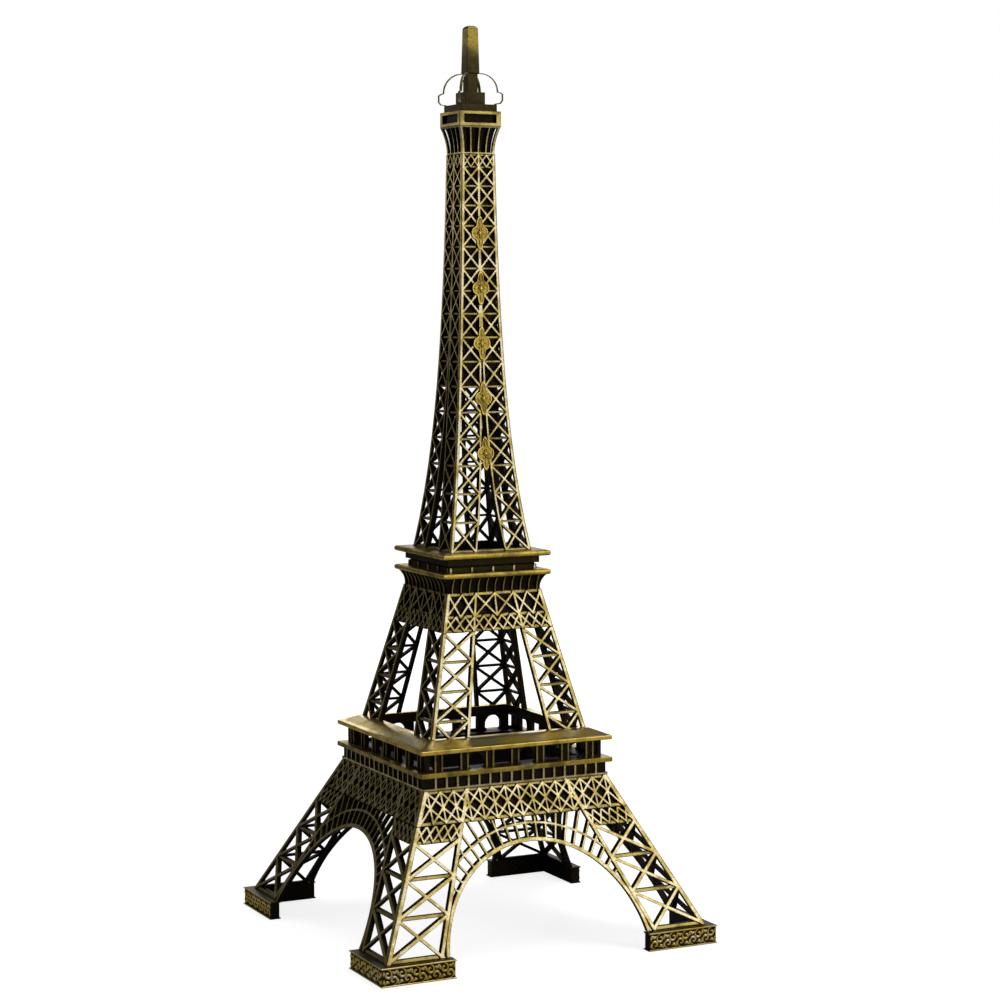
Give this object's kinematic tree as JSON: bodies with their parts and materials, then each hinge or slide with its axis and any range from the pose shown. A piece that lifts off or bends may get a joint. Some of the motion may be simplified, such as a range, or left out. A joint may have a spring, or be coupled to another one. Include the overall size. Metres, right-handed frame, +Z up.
{
  "type": "miniature lattice tower",
  "caption": "Free-standing cast-metal lattice tower model: splayed legs with arches, two square floors, and a tall tapering lattice shaft with a lantern and spire.",
  "frame": {"origin": "centre of the square footprint, on the plane that the plinths rest on", "axes": "+Z up along the tower's axis; -Y is the front, the side with the rosettes; +X to the right seen from the front"},
  "size_m": [0.128, 0.128, 0.32],
  "materials": {
    "plinth_metal": "antique brass plating, dark patina in the relief, satin",
    "lower_lattice": "antique brass plating, relieved bright on the outer faces, dark patina inside, satin",
    "shaft_lattice": "antique brass plating, relieved bright on the edges, dark patina inside, satin",
    "ornament": "antique brass plating, brushed satin",
    "polished_floor": "antique brass plating, polished, slight brush marks",
    "dark_wall": "dark brown-black patina over brass plating, bright only on proud edges",
    "crown_metal": "antique brass plating, dark patina low down, satin"
  },
  "bodies": {
    "root": {"arch_back": "lower_lattice", "arch_front": "lower_lattice", "arch_left": "lower_lattice", "arch_right": "lower_lattice", "cornice_wall": "dark_wall", "crown_rib_back_left": "crown_metal", "crown_rib_back_right": "crown_metal", "crown_rib_front_left": "crown_metal", "crown_rib_front_right": "crown_metal", "first_floor_deck": "polished_floor", "first_floor_ledge": "polished_floor", "flared_cage": "shaft_lattice", "frieze_back": "lower_lattice", "frieze_front": "lower_lattice", "frieze_left": "lower_lattice", "frieze_right": "lower_lattice", "gallery_wall": "dark_wall", "lantern_gallery": "crown_metal", "lantern_roof": "crown_metal", "leg_back_left": "lower_lattice", "leg_back_right": "lower_lattice", "leg_front_left": "lower_lattice", "leg_front_right": "lower_lattice", "leg_left_left": "lower_lattice", "leg_left_right": "lower_lattice", "leg_right_left": "lower_lattice", "leg_right_right": "lower_lattice", "mid_frieze_back": "lower_lattice", "mid_frieze_front": "lower_lattice", "mid_frieze_left": "lower_lattice", "mid_frieze_right": "lower_lattice", "mid_leg_back_left": "lower_lattice", "mid_leg_back_right": "lower_lattice", "mid_leg_front_left": "lower_lattice", "mid_leg_front_right": "lower_lattice", "mid_leg_left_left": "lower_lattice", "mid_leg_left_right": "lower_lattice", "mid_leg_right_left": "lower_lattice", "mid_leg_right_right": "lower_lattice", "plinth_back_left": "plinth_metal", "plinth_back_right": "plinth_metal", "plinth_front_left": "plinth_metal", "plinth_front_right": "plinth_metal", "roof_block": "crown_metal", "second_floor_cove": "dark_wall", "second_floor_lower_slab": "polished_floor", "second_floor_upper_slab": "polished_floor", "second_floor_wall": "dark_wall", "shaft_panel_back": "shaft_lattice", "shaft_panel_front": "shaft_lattice", "shaft_panel_left": "shaft_lattice", "shaft_panel_right": "shaft_lattice", "shaft_rosette_1": "ornament", "shaft_rosette_2": "ornament", "shaft_rosette_3": "ornament", "shaft_rosette_4": "ornament", "shaft_rosette_5": "ornament", "spire": "crown_metal"}
  },
  "joints": []
}
